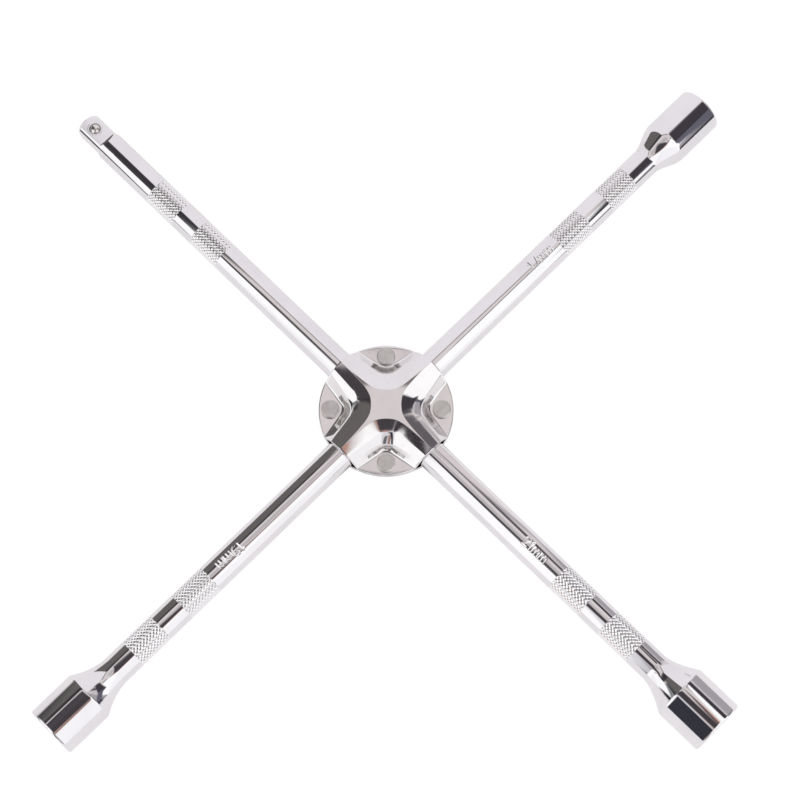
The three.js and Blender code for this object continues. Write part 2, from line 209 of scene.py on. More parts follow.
def turned(points, quarters):
    """Points in an arm's own frame (across, along, up), turned about Z to where that arm lies."""
    x, y, z = points[:, 0], points[:, 1], points[:, 2]
    pairs = [(x, y), (-y, x), (-x, -y), (y, -x)]
    return np.column_stack([*pairs[quarters], z])


class Shell:
    """A closed surface built ring by ring along an arm's axis, which is +Y."""

    def __init__(self):
        self.points = []
        self.faces = []
        self.total = 0

    def ring(self, angles, radius, along):
        """Adds a ring at those angles from +Z towards +X. Radius and along may differ round it."""
        radius = np.broadcast_to(radius, angles.shape)
        along = np.broadcast_to(along, angles.shape)
        self.points.append(np.column_stack([radius * np.sin(angles), along, radius * np.cos(angles)]))
        start = self.total
        self.total += len(angles)
        return list(range(start, self.total))

    def onward(self, last, angles, radius, along):
        """Adds a ring and joins it to the last one."""
        ring = self.ring(angles, radius, along)
        self.bridge(last, ring)
        return ring

    def bridge(self, low, high):
        """Joins two rings of the same length, low first along the axis."""
        count = len(low)
        for i in range(count):
            k = (i + 1) % count
            self.faces.append((low[i], low[k], high[k], high[i]))

    def object(self, name, quarters, crease):
        """The finished surface, turned to its arm."""
        return mesh_object(name, turned(np.vstack(self.points), quarters), self.faces, crease)


def add_object(name, data):
    """A new object in the scene, for a mesh or a camera."""
    made = bpy.data.objects.new(name, data)
    bpy.context.scene.collection.objects.link(made)
    return made


def mesh_object(name, points, faces, crease=CREASE):
    """A new object with those points and faces."""
    mesh = bpy.data.meshes.new(name)
    mesh.from_pydata([tuple(p) for p in points], [], [tuple(int(i) for i in f) for f in faces])
    mesh.validate()
    made = add_object(name, mesh)
    finish_normals(made, crease)
    return made


def finish_normals(made, crease):
    """Faces outwards, smooth except where the surface turns by more than the crease angle."""
    work = bmesh.new()
    work.from_mesh(made.data)
    bmesh.ops.recalc_face_normals(work, faces=work.faces)
    work.to_mesh(made.data)
    work.free()
    made.data.shade_smooth()
    made.data.set_sharp_from_angle(angle=crease)


def cut(made, cutter, crease):
    """Takes the cutter's shape out of an object, and removes the cutter."""
    boolean = made.modifiers.new("cut", "BOOLEAN")
    boolean.operation = "DIFFERENCE"
    boolean.solver = "EXACT"
    boolean.object = cutter
    bpy.context.view_layer.objects.active = made
    bpy.ops.object.modifier_apply(modifier=boolean.name)
    bpy.data.objects.remove(cutter)
    finish_normals(made, crease)


def lathe(name, profile, columns, centre):
    """A solid turned about a vertical axis, from (radius, height) pairs that start and end on the axis."""
    angles = np.arange(columns) * 2 * pi / columns
    points, faces, rings = [], [], []
    for radius, height in profile:
        start = len(points)
        if radius < 0.001 * MM:  # on the axis
            points.append((0, 0, height))
            rings.append([start] * columns)
        else:
            points.extend(zip(radius * np.cos(angles), radius * np.sin(angles), [height] * columns))
            rings.append(list(range(start, start + columns)))
    for low, high in zip(rings, rings[1:]):
        for i in range(columns):
            k = (i + 1) % columns
            faces.append(list(dict.fromkeys((low[i], low[k], high[k], high[i]))))
    return mesh_object(name, np.array(points, float) + np.array(centre, float), faces)


def quarter_round(radius, steps):
    """(inward, down) offsets of a rounded edge, from its flat face to its side wall."""
    return [(radius * (1 - sin(a)), radius * (1 - cos(a))) for a in np.linspace(0, pi / 2, steps + 1)]


# ---------------- bars


def section_angles(half_width):
    """Ring angles with mesh columns on the edges of four flats, whose half-width is given as an angle."""
    quadrant = np.concatenate([
        np.linspace(0, half_width, FLAT_COLUMNS, endpoint=False),
        np.linspace(half_width, pi / 2 - half_width, COLUMNS // 4 - 2 * FLAT_COLUMNS, endpoint=False),
        np.linspace(pi / 2 - half_width, pi / 2, FLAT_COLUMNS, endpoint=False),
    ])
    half = np.concatenate([quadrant, pi / 2 + quadrant])
    return np.concatenate([half, pi + half])


EVEN = np.arange(COLUMNS) * 2 * pi / COLUMNS


def mitred_start(shell):
    """The bar's pointed inner end, cut on both sides at 45 degrees."""
    ring = shell.ring(EVEN, ROD_RADIUS, WELD_TIP + np.abs(ROD_RADIUS * np.sin(EVEN)))
    half = COLUMNS // 2
    shell.faces.append(ring[: half + 1][::-1])
    shell.faces.append((ring[half:] + ring[:1])[::-1])
    return ring


def knurl(shell, last, start, end):
    """A diamond-knurled band: two families of grooves across each other, with flat diamonds between them."""
    rows = round((end - start) / (KNURL_PITCH / KNURL_STEPS))
    step = (end - start) / rows
    last = plain(shell, last, start - BAND_EDGE)
    last = plain(shell, last, start)

    def groove(place):
        """How deep a groove family is at places counted in grooves."""
        from_middle = np.abs(place - np.round(place))
        return np.interp(from_middle * KNURL_STEPS, np.arange(len(KNURL_GROOVE)), KNURL_GROOVE)

    around = np.arange(COLUMNS) * KNURL_STARTS / COLUMNS
    for j in range(1, rows + 1):
        lengthwise = j / KNURL_STEPS
        one, other = groove(around + lengthwise), groove(around - lengthwise)
        depth = np.maximum(one, other) * (0 if j == rows else 1)
        ring = shell.ring(EVEN, ROD_RADIUS - KNURL_DEPTH * depth, start + j * step)
        middle = around + 0.5 * KNURL_STARTS / COLUMNS
        first = groove(middle + lengthwise - 0.5 / KNURL_STEPS)
        second = groove(middle - lengthwise + 0.5 / KNURL_STEPS)
        for i in range(COLUMNS):
            k = (i + 1) % COLUMNS
            a, b, c, d = last[i], last[k], ring[k], ring[i]
            if first[i] >= second[i]:
                shell.faces.extend([(a, b, d), (b, c, d)])
            else:
                shell.faces.extend([(a, b, c), (a, c, d)])
        last = ring
    return plain(shell, last, end + BAND_EDGE)


def plain(shell, last, end):
    """A smooth stretch of bar up to a point."""
    return shell.onward(last, EVEN, ROD_RADIUS, end)


GLYPHS = {  # a figure's width, and its strokes in a box one unit high: x along the bar, y up the figure
    "1": (0.34, [[(0.0, 0.76), (0.22, 1.0), (0.22, 0.0)]]),
    "2": (0.56, [[(0.02, 0.74), (0.08, 0.92), (0.28, 1.0), (0.48, 0.92), (0.54, 0.74), (0.48, 0.55),
                  (0.0, 0.0), (0.56, 0.0)]]),
    "7": (0.52, [[(0.0, 1.0), (0.52, 1.0), (0.2, 0.0)]]),
    "9": (0.56, [[(0.54, 0.7), (0.46, 0.92), (0.28, 1.0), (0.1, 0.92), (0.02, 0.7), (0.1, 0.5), (0.28, 0.42),
                  (0.46, 0.5), (0.54, 0.7), (0.52, 0.4), (0.42, 0.12), (0.2, 0.0), (0.06, 0.06)]]),
    "m": (1.02, [[(0.0, 0.0), (0.0, 1.0)], [(0.0, 0.8), (0.2, 1.0), (0.4, 0.94), (0.51, 0.72), (0.51, 0.0)],
                 [(0.51, 0.76), (0.7, 1.0), (0.92, 0.94), (1.02, 0.72), (1.02, 0.0)]]),
}


def mark_strokes(digits, start, length, above):
    """Line segments of a size mark such as 17 mm, in (along, across) metres, fitted to a length."""
    segments = []
    cursor = 0.0
    base = above - DIGIT_HEIGHT / 2
    for letter in digits + "mm":
        height = UNIT_HEIGHT if letter == "m" else DIGIT_HEIGHT
        width, strokes = GLYPHS[letter]
        for stroke in strokes:
            placed = [(cursor + x * height, base + y * height) for x, y in stroke]
            segments.extend(zip(placed, placed[1:]))
        cursor += width * height + GLYPH_GAP
    stretch = length / (cursor - GLYPH_GAP)
    return [((start + a * stretch, b), (start + c * stretch, d)) for (a, b), (c, d) in segments]


def size_mark(shell, last, digits, start, length, above):
    """A stretch of bar with its size engraved along the crest, read outwards from the hub."""
    last = plain(shell, last, start - MARK_MARGIN)
    meshed = length + 2 * MARK_MARGIN
    rows = round(meshed / MARK_STEP)
    along = start - MARK_MARGIN + np.arange(rows + 1) * meshed / rows
    # the figures' upward side is -X in the arm's frame
    across = -ROD_RADIUS * (np.mod(EVEN + pi, 2 * pi) - pi)
    u, v = np.meshgrid(along, across, indexing="ij")
    nearest = np.full(u.shape, np.inf)
    for (a, b), (c, d) in mark_strokes(digits, start, length, above):
        run, rise = c - a, d - b
        share = np.clip(((u - a) * run + (v - b) * rise) / (run * run + rise * rise), 0, 1)
        nearest = np.minimum(nearest, np.hypot(u - a - share * run, v - b - share * rise))
    depth = MARK_DEPTH * np.clip(1 - nearest / MARK_STROKE, 0, 1) ** MARK_FULLNESS
    depth[-1] = 0
    for j in range(1, rows + 1):
        last = shell.onward(last, EVEN, ROD_RADIUS - depth[j], along[j])
    return last


def socket_bar(name, digits, arm):
    """A bar from the hub to its socket's weld, with its size mark and knurled bands."""
    shell = Shell()
    last = mitred_start(shell)
    last = size_mark(shell, last, digits, *(size * MM for size in arm["mark"]))
    for start, end in arm["bands"]:
        last = knurl(shell, last, start * MM, end * MM)
    last = plain(shell, last, arm["weld"] * MM)
    shell.faces.append(last)
    return shell.object(name, arm["turn"], BAR_CREASE)


# ---------------- square drive


def ramp_at(height):
    """Where along the bar the ramp behind a milled flat has come down to a height."""
    rise = height - DRIVE_HALF
    curved = RAMP_RADIUS * (1 - cos(RAMP_SLOPE))
    if rise < curved:
        return RAMP_END - sqrt(max(RAMP_RADIUS**2 - (RAMP_RADIUS - rise) ** 2, 0))
    return RAMP_END - RAMP_RADIUS * sin(RAMP_SLOPE) - (rise - curved) / tan(RAMP_SLOPE)


def section_radius(angles, height):
    """Radius of a bar with four flats on it, at a height from the axis."""
    facing = np.maximum(np.abs(np.cos(angles)), np.abs(np.sin(angles)))
    return np.minimum(height / facing, ROD_RADIUS)


def bore_cutter(ball_at):
    """The shape of the ball's bore, its lip and the staked groove round it."""
    top = DRIVE_HALF
    profile = [
        (0, BORE_FLOOR),
        (BORE_RADIUS, BORE_FLOOR),
        (BORE_RADIUS, top - LIP_START),
        (LIP_RADIUS, top - LIP_THROAT),
        (LIP_RADIUS, top - LIP_CHAMFER),
        (LIP_RADIUS + LIP_CHAMFER, top + CUTTER_SKIM),
        (STAKE_INNER, top + CUTTER_SKIM),
        (STAKE_INNER + STAKE_INNER_SLOPE, top - STAKE_DEPTH),
        (STAKE_OUTER - STAKE_OUTER_SLOPE, top - STAKE_DEPTH),
        (STAKE_OUTER, top + CUTTER_SKIM),
        (STAKE_OUTER + CUTTER_FLARE, top + CUTTER_REACH),
        (0, top + CUTTER_REACH),
    ]
    return lathe("bore_cutter", profile, CUTTER_COLUMNS, (-ball_at, 0, 0))


def drive_bar(name, arm, ball_at):
    """The bar whose end is milled to a square, with a bore for the ball that far from the hub's centre."""
    shell = Shell()
    last = mitred_start(shell)
    for start, end in arm["bands"]:
        last = knurl(shell, last, start * MM, end * MM)
    last = plain(shell, last, EVEN_END)
    full = acos(DRIVE_HALF / ROD_RADIUS)
    last = shell.onward(last, section_angles(full), ROD_RADIUS, FLAT_COLUMNS_AT)
    for share in np.linspace(0, 1, NARROWING_RINGS):
        angles = section_angles(full + (FIRST_FLAT - full) * share)
        last = shell.onward(last, angles, ROD_RADIUS, NARROWING_AT + NARROWING * share)
    for width in np.linspace(0, full, RAMP_RINGS):
        height = ROD_RADIUS * cos(width)
        angles = section_angles(max(width, FIRST_FLAT))
        last = shell.onward(last, angles, section_radius(angles, height), ramp_at(height))
    angles = section_angles(full)
    radius = section_radius(angles, DRIVE_HALF)
    last = shell.onward(last, angles, radius, RAMP_END + BAND_EDGE)
    # the cone's slope is 45 degrees
    last = shell.onward(last, angles, radius, CONE_AT + (ROD_RADIUS - radius))
    cone_end = DRIVE_END - END_ROUNDING
    end_radius = ROD_RADIUS - (cone_end - CONE_AT)
    for inward, down in quarter_round(END_ROUNDING, EDGE_STEPS)[::-1]:
        last = shell.onward(last, angles, end_radius - inward, DRIVE_END - down)
    shell.faces.append(last)
    made = shell.object(name, arm["turn"], BAR_CREASE)
    cut(made, bore_cutter(ball_at), BAR_CREASE)
    return made


# ---------------- sockets


def hexagon_radius(angles, half_flats):
    """Radius of a hexagon with a flat towards +Z."""
    within = np.mod(angles + pi / 6, pi / 3) - pi / 6
    return half_flats / np.cos(within)


def flare_radius(share, arm):
    """The neck's radius: a trumpet that ends in a crisp shoulder, or an S where the arm is rounded."""
    growth = share ** arm["flare"]
    rounded = share * share * (3 - 2 * share)
    blend = growth + (rounded - growth) * arm["roundness"]
    return ROD_RADIUS + (arm["radius"] * MM - ROD_RADIUS) * blend


def socket_piece(name, digits, arm):
    """A socket: its flare, its barrel with a rounded rim, and the hexagon and stud relief inside."""
    shell = Shell()
    angles = np.arange(SOCKET_COLUMNS) * 2 * pi / SOCKET_COLUMNS
    weld, shoulder, mouth = arm["weld"] * MM, arm["shoulder"] * MM, arm["mouth"] * MM
    radius = arm["radius"] * MM
    rounded = shoulder + SHOULDER_ROUNDING
    outline = [(ROD_RADIUS, weld + WELD_GAP)]
    for share in np.linspace(0, 1, FLARE_STEPS + 1)[1:-1]:
        outline.append((flare_radius(share, arm), weld + share * (shoulder - weld)))
    before = outline[-1]
    for share in np.linspace(0, 1, SHOULDER_STEPS + 1):  # a quadratic curve round the shoulder
        ends = (before, (radius, shoulder), (radius, rounded))
        weights = ((1 - share) ** 2, 2 * share * (1 - share), share**2)
        outline.append(tuple(sum(w * p[i] for w, p in zip(weights, ends)) for i in (0, 1)))
    outline.append((radius, rounded + BAND_EDGE))
    outline.append((radius, mouth - RIM_ROUNDING - BAND_EDGE))
    for inward, down in quarter_round(RIM_ROUNDING, RIM_STEPS)[::-1]:
        outline.append((radius - inward, mouth - down))
    half_flats = (int(digits) * MM + HEX_CLEARANCE) / 2
    hexagon = hexagon_radius(angles, half_flats)
    entry = np.maximum(half_flats + MOUTH_CHAMFER, hexagon + LEAST_CHAMFER)
    stud = half_flats * STUD_SHARE
    stud_end = mouth - STUD_DEPTH
    inside = [
        (entry, mouth),
        (hexagon, mouth - (entry - hexagon)),
        (hexagon, mouth - HEX_DEPTH),
        (stud, mouth - HEX_DEPTH - HEX_STEP),
        (stud, stud_end),
        (stud * DRILL_TIP, stud_end - stud * DRILL_POINT),
    ]
    last = shell.ring(angles, *outline[0])
    shell.faces.append(last[::-1])
    for reach, along in outline[1:] + inside:
        last = shell.onward(last, angles, reach, along)
    shell.faces.append(last)
    return shell.object(name, arm["turn"], SOCKET_CREASE)


# ---------------- hub

CROWN_TOP = ROD_RADIUS + CREST_GAP + PLATE_THICKNESS
LOBE_TOP = SEAT_GAP / 2 + PLATE_THICKNESS
SPLAY_TURN = atan(FOOT_SPLAY)
# how far the foot line would lie from a bar's axis at the hub's centre, and the centre of its corner's round
FOOT_LEVEL = FOOT_AT_RIM + FOOT_SPLAY * sqrt(PLATE_RADIUS**2 - FOOT_AT_RIM**2)
CORNER_AT = (FOOT_LEVEL + FOOT_CORNER / cos(SPLAY_TURN)) / (1 + FOOT_SPLAY)
CORNER_END = CORNER_AT * (1 - FOOT_SPLAY)  # sections that start nearer the hub's centre end in the corner


def wall_section(start):
    """A section square to the foot line, from the bar's axis at a distance from the hub's centre: its length
    to the foot, the wall's width and its shoulder's in plan, and the radii of its foot and of its crest."""
    if start < CORNER_END:
        length = hypot(CORNER_AT - start, CORNER_AT) - FOOT_CORNER
    else:
        length = (FOOT_LEVEL - FOOT_SPLAY * start) * cos(SPLAY_TURN)
    near = max(STAR_BLEND - abs(length - WALL_WIDTH), 0) / STAR_BLEND
    width = min(length, WALL_WIDTH) - near * near * STAR_BLEND / 4
    flank = FLANK_SHARE * width
    foot_radius = FOOT_RADIUS + (width - FOOT_AT_RIM) * FOOT_GROWTH
    run = width - flank - foot_radius * sin(WALL_SLOPE)
    spare = run * tan(WALL_SLOPE) + flank * tan(FLANK_SLOPE) + foot_radius * (1 - cos(WALL_SLOPE))
    turned_run = sin(WALL_SLOPE) - sin(FLANK_SLOPE)
    turned_drop = cos(FLANK_SLOPE) - cos(WALL_SLOPE)
    crest_radius = (spare - (CROWN_TOP - LOBE_TOP)) / (turned_run * tan(WALL_SLOPE) - turned_drop)
    return length, width, flank, foot_radius, crest_radius


def wall_point(start, level):
    """A point of a pressing's outer face on a section, and how far up the wall it is, from 0 to 1. Level runs
    from 0 at the foot through 1, 2, 3 and 4 at the ends of the foot's curve, the straight wall, the crest's
    curve and the shoulder, to 5 on the bar's axis."""
    length, width, flank, foot_radius, crest_radius = wall_section(start)
    low = foot_radius * sin(WALL_SLOPE)
    high = width - flank - crest_radius * (sin(WALL_SLOPE) - sin(FLANK_SLOPE))
    shoulder = CROWN_TOP - flank * tan(FLANK_SLOPE)
    if level <= 1:
        out = foot_radius * sin(level * WALL_SLOPE)
        height = LOBE_TOP + foot_radius * (1 - cos(level * WALL_SLOPE))
    elif level <= 2:
        out = low + (high - low) * (level - 1)
        height = LOBE_TOP + foot_radius * (1 - cos(WALL_SLOPE)) + (out - low) * tan(WALL_SLOPE)
    elif level <= 3:
        angle = FLANK_SLOPE + (3 - level) * (WALL_SLOPE - FLANK_SLOPE)
        out = width - flank - crest_radius * (sin(angle) - sin(FLANK_SLOPE))
        height = shoulder - crest_radius * (cos(FLANK_SLOPE) - cos(angle))
    elif level <= 4:
        out = width - flank * (4 - level)
        height = CROWN_TOP - (width - out) * tan(FLANK_SLOPE)
    else:
        out = width + (length - width) * (level - 4)
        height = CROWN_TOP
    if start < CORNER_END:
        reach = hypot(CORNER_AT - start, CORNER_AT)
        share = (out + FOOT_CORNER) / reach
        x, y = CORNER_AT + (start - CORNER_AT) * share, CORNER_AT * (1 - share)
    else:
        x, y = start + (length - out) * sin(SPLAY_TURN), (length - out) * cos(SPLAY_TURN)
    raised = (height - LOBE_TOP) / (CROWN_TOP - LOBE_TOP)
    beyond = max(hypot(x, y) - DOME_START, 0) / (PLATE_RADIUS - DOME_START)
    return x, y, height + DOME_HEIGHT * raised * (1 - beyond**DOME_FALL), raised


def rim_radius(raised):
    """The blank's edge, drawn in where the pressing is high."""
    return PLATE_RADIUS - RIM_DRAW_IN * raised


def rim_start(level):
    """Where a level line of the wall meets the rim."""
    low, high = 0.0, 1.2 * PLATE_RADIUS
    for _ in range(40):  # halvings
        middle = (low + high) / 2
        x, y, _z, raised = wall_point(middle, level)
        if hypot(x, y) < rim_radius(raised) - PLATE_EDGE:
            low = middle
        else:
            high = middle
    return low


def pressing_grid():
    """An eighth of a pressing's outer face: rows of points from the bar's axis to the rim of the lobe."""
    star_rows, *wall_rows, lobe_rows = PLATE_ROWS
    levels = [*np.linspace(5, 4 + 2 * STAR_GUARD, star_rows), 4 + STAR_GUARD, 4.0, 4 - STAR_GUARD]
    for i, count in enumerate(wall_rows):
        levels += [4 - i - j / count for j in range(1, count + 1)]
    rows = []
    for level in levels:
        end = rim_start(level)
        rows.append([wall_point(end * i / PLATE_SECTIONS, level)[:3] for i in range(PLATE_SECTIONS + 1)])
    foot = rows[-1]
    edge = PLATE_RADIUS - PLATE_EDGE
    last_angle = atan2(foot[-1][1], foot[-1][0])
    for j in range(1, lobe_rows + 1):
        share = j / lobe_rows
        row = []
        for i, (x, y, z) in enumerate(foot):
            angle = pi / 4 + (last_angle - pi / 4) * i / PLATE_SECTIONS
            row.append((x + (edge * cos(angle) - x) * share, y + (edge * sin(angle) - y) * share, z))
        rows.append(row)
    return rows


def join_rows(work, rows):
    """Adds the faces between neighbouring rows of a bmesh's points."""
    for upper, lower in zip(rows, rows[1:]):
        for i in range(len(upper) - 1):
            work.faces.new((upper[i], upper[i + 1], lower[i + 1], lower[i]))


def hub_plate(name, side):
    """One pressing. side is 1 for the front plate and -1 for the back one."""
    rows = pressing_grid()
    rim = [row[-1] for row in rows[: -PLATE_ROWS[-1]]] + rows[-1][-2::-1]
    # how far outwards and down the rounded edge goes, from the outer face to the inner one
    edge = [(PLATE_EDGE - inward, down) for inward, down in quarter_round(PLATE_EDGE, EDGE_STEPS)]
    edge += [(outward, PLATE_THICKNESS - down) for outward, down in edge[::-1]]
    work = bmesh.new()

    def vertex(eighth, x, y, z):
        turn = eighth // 2 * pi / 2
        if eighth % 2:
            y = -y
        return work.verts.new((x * cos(turn) - y * sin(turn), x * sin(turn) + y * cos(turn), z * side))

    for eighth in range(8):
        for inset in (0, PLATE_THICKNESS):
            join_rows(work, [[vertex(eighth, x, y, z - inset) for x, y, z in row] for row in rows])
        strips = []
        for x, y, z in rim:
            reach = hypot(x, y)
            strips.append([
                vertex(eighth, x * (reach + outward) / reach, y * (reach + outward) / reach, z - down)
                for outward, down in edge
            ])
        join_rows(work, strips)
    bmesh.ops.remove_doubles(work, verts=work.verts, dist=MERGE_GAP)
    bmesh.ops.dissolve_degenerate(work, edges=work.edges, dist=SHORTEST_EDGE)
    mesh = bpy.data.meshes.new(name)
    work.to_mesh(mesh)
    work.free()
    made = add_object(name, mesh)
    finish_normals(made, PLATE_CREASE)
    return made


def rivet_piece(name, centre, head_radius, height):
    """A rivet with low flat heads on both sides, each with faint turning rings on it."""
    seat = LOBE_TOP + RIVET_LIFT
    shank = head_radius * RIVET_SHANK
    outline = [(shank, seat), (head_radius - RIVET_FOOT, seat), (head_radius, seat + RIVET_FOOT)]
    for inward, down in quarter_round(RIVET_EDGE, RIM_STEPS)[::-1]:
        outline.append((head_radius - inward, height - down))
    for share in np.linspace(RINGS_FROM, RINGS_TO, RING_STEPS):
        drop = HEAD_FALL * share + RING_DEPTH * (1 - cos(share * RING_WAVES))
        outline.append((head_radius * share, height - drop))
    upper = outline + [(0, height - HEAD_DIMPLE)]
    lower = [(r, -z) for r, z in upper[::-1]]
    return lathe(name, lower + upper, RIVET_COLUMNS, centre)


# ---------------- detent


def ball_piece(name, centre, radius):
    """A plain ball."""
    profile = [(radius * sin(a), -radius * cos(a)) for a in np.linspace(0, pi, BALL_ROWS)]
    return lathe(name, profile, BALL_COLUMNS, centre)


def spring_piece(name, centre, bottom, top):
    """A compression spring: an even helix of round wire, cut square at both ends."""
    steps, around = SPRING_STEPS * SPRING_TURNS, SPRING_COLUMNS
    points, faces = [], []
    low, high = bottom + SPRING_WIRE, top - SPRING_WIRE
    for i in range(steps + 1):
        share = i / steps
        angle = 2 * pi * SPRING_TURNS * share
        rise = low + (high - low) * share
        for j in range(around):
            turn = 2 * pi * j / around
            reach = SPRING_RADIUS + SPRING_WIRE * cos(turn)
            points.append((reach * cos(angle), reach * sin(angle), rise + SPRING_WIRE * sin(turn)))
    for i in range(steps):
        for j in range(around):
            k = (j + 1) % around
            faces.append((i * around + j, i * around + k, (i + 1) * around + k, (i + 1) * around + j))
    faces.append(list(range(around)))
    faces.append(list(range(steps * around, (steps + 1) * around)))
    return mesh_object(name, np.array(points) + np.array(centre), faces, SPRING_CREASE)


# ---------------- materials

GRAIN_RELIEF = 0.05 * MM
FROST_START = 0.02 * MM  # how deep a cut is where it starts to look matt
FROST_DEPTH = 0.1 * MM  # how deep it is where it looks fully matt
FROST_END = 190 * MM  # from the hub's centre, beyond the knurls and short of the milled drive
FROST_FADE = 1 * MM
FROST_ROUGHNESS = 0.1
FROST_COLOUR = (1.0, 1.0, 1.0)


def math_node(tree, operation, *values):
    """Arithmetic on numbers and sockets."""
    node = tree.nodes.new("ShaderNodeMath")
    node.operation = operation
    for socket, value in zip(node.inputs, values):
        if isinstance(value, (int, float)):
            socket.default_value = value
        else:
            tree.links.new(value, socket)
    return node.outputs[0]


def mapped(tree, value, low, high, to_low, to_high, smooth=False):
    """A value carried from one range to another, held at the ends."""
    node = tree.nodes.new("ShaderNodeMapRange")
    node.interpolation_type = "SMOOTHSTEP" if smooth else "LINEAR"
    tree.links.new(value, node.inputs["Value"])
    for key, number in (("From Min", low), ("From Max", high), ("To Min", to_low), ("To Max", to_high)):
        node.inputs[key].default_value = number
    return node.outputs["Result"]


def mixed(tree, factor, one, other):
    """A colour between two, each a colour or a socket."""
    node = tree.nodes.new("ShaderNodeMix")
    node.data_type = "RGBA"
    tree.links.new(factor, node.inputs["Factor"])
    for key, value in ((6, one), (7, other)):  # the node's two colour inputs
        if isinstance(value, tuple):
            node.inputs[key].default_value = (*value, 1)
        else:
            tree.links.new(value, node.inputs[key])
    return node.outputs[2]


def noise(tree, scale, detail, roughness):
    """Noise fixed to the object, with that many features to the metre."""
    coordinates = tree.nodes.new("ShaderNodeTexCoord")
    node = tree.nodes.new("ShaderNodeTexNoise")
    node.inputs["Scale"].default_value = scale
    node.inputs["Detail"].default_value = detail
    node.inputs["Roughness"].default_value = roughness
    tree.links.new(coordinates.outputs["Object"], node.inputs["Vector"])
    return node.outputs["Fac"]


def metal(name, light, dark, roughness, patches, grain, bump):
    """A metal whose colour drifts between two tones and whose gloss varies in patches, over a fine grain. The
    three values of roughness are its least and its most over the grain, and what the patches add. patches and
    grain are noise scales, and bump is the strength of the grain's relief."""
    material = bpy.data.materials.new(name)
    material.use_nodes = True
    tree = material.node_tree
    shader = tree.nodes["Principled BSDF"]
    shader.inputs["Metallic"].default_value = 1.0
    cloud = noise(tree, patches, detail=4.0, roughness=0.6)
    fine = noise(tree, grain, detail=5.0, roughness=0.65)
    tone = mapped(tree, cloud, 0.35, 0.7, 0.0, 1.0, smooth=True)
    tree.links.new(mixed(tree, tone, light, dark), shader.inputs["Base Color"])
    haze = mapped(tree, fine, 0.3, 0.75, roughness[0], roughness[1])
    smear = mapped(tree, cloud, 0.45, 0.75, 0.0, roughness[2], smooth=True)
    tree.links.new(math_node(tree, "ADD", haze, smear), shader.inputs["Roughness"])
    relief = tree.nodes.new("ShaderNodeBump")
    relief.inputs["Strength"].default_value = bump
    relief.inputs["Distance"].default_value = GRAIN_RELIEF
    tree.links.new(fine, relief.inputs["Height"])
    tree.links.new(relief.outputs["Normal"], shader.inputs["Normal"])
    return material


def frosted(material):
    """Makes the plating matt and paler where a bar is cut below its own round, in knurls and size marks."""
    tree = material.node_tree
    shader = tree.nodes["Principled BSDF"]
    coordinates = tree.nodes.new("ShaderNodeTexCoord")
    split = tree.nodes.new("ShaderNodeSeparateXYZ")
    tree.links.new(coordinates.outputs["Object"], split.inputs[0])
    one = math_node(tree, "ABSOLUTE", split.outputs["X"])
    other = math_node(tree, "ABSOLUTE", split.outputs["Y"])
    across = math_node(tree, "MINIMUM", one, other)
    height = math_node(tree, "MULTIPLY", split.outputs["Z"], split.outputs["Z"])
    radius = math_node(tree, "SQRT", math_node(tree, "MULTIPLY_ADD", across, across, height))
    below = mapped(tree, radius, ROD_RADIUS - FROST_DEPTH, ROD_RADIUS - FROST_START, 1.0, 0.0)
    along = math_node(tree, "MAXIMUM", one, other)
    on_bar = mapped(tree, along, FROST_END, FROST_END + FROST_FADE, 1.0, 0.0)
    matt = math_node(tree, "MULTIPLY", below, on_bar)
    polished = shader.inputs["Base Color"].links[0].from_socket
    tree.links.new(mixed(tree, matt, polished, FROST_COLOUR), shader.inputs["Base Color"])
    gloss = shader.inputs["Roughness"].links[0].from_socket
    rough = math_node(tree, "MULTIPLY_ADD", matt, FROST_ROUGHNESS, gloss)
    tree.links.new(rough, shader.inputs["Roughness"])
    return material


chrome_bar = frosted(metal(
    "bar_chrome", (0.90, 0.89, 0.905), (0.86, 0.85, 0.865), (0.035, 0.06, 0.03), 45, 700, 0.05))
chrome_socket = metal(
    "socket_chrome", (0.90, 0.89, 0.905), (0.86, 0.85, 0.87), (0.035, 0.06, 0.03), 60, 600, 0.06)
chrome_hub = metal("hub_chrome", (0.90, 0.885, 0.89), (0.86, 0.845, 0.85), (0.04, 0.075, 0.03), 90, 500, 0.08)
rivet_steel = metal(
    "rivet_steel", (0.80, 0.79, 0.77), (0.70, 0.69, 0.67), (0.30, 0.42, 0.08), 400, 2500, 0.35)
ball_steel = metal("ball_steel", (0.82, 0.79, 0.77), (0.72, 0.69, 0.67), (0.05, 0.10, 0.05), 300, 2000, 0.05)
spring_steel = metal("spring_steel", (0.42, 0.43, 0.45), (0.30, 0.29, 0.29), (0.25, 0.4, 0.1), 500, 3000, 0.3)
weld_steel = metal("weld_steel", (0.40, 0.37, 0.34), (0.22, 0.18, 0.15), (0.4, 0.7, 0.15), 200, 1200, 0.8)

# ---------------- pieces


def place(piece, node, material, body, slot):
    """Puts a piece in the frame, in the place of a CAD node."""
    piece.data.materials.clear()
    piece.data.materials.append(material)
    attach(piece, body)
    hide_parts(node)


def middle_of(node):
    low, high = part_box(node)
    return (low + high) / 2


for digits, arm in ARMS.items():
    bar = socket_bar(f"bar_{digits}_piece", digits, arm)
    place(bar, f"bar_{digits}", chrome_bar, "wrench", "bar_chrome")
    socket = socket_piece(f"socket_{digits}_piece", digits, arm)
    place(socket, f"socket_{digits}", chrome_socket, "wrench", "socket_chrome")

ball_centre = middle_of("detent_ball")
low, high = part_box("detent_ball")
bar = drive_bar("bar_drive_piece", DRIVE_ARM, -ball_centre.x)
place(bar, "bar_drive", chrome_bar, "wrench", "bar_chrome")
ball = ball_piece("detent_ball_piece", ball_centre, (high - low).z / 2)
place(ball, "detent_ball", ball_steel, "detent", "ball_steel")

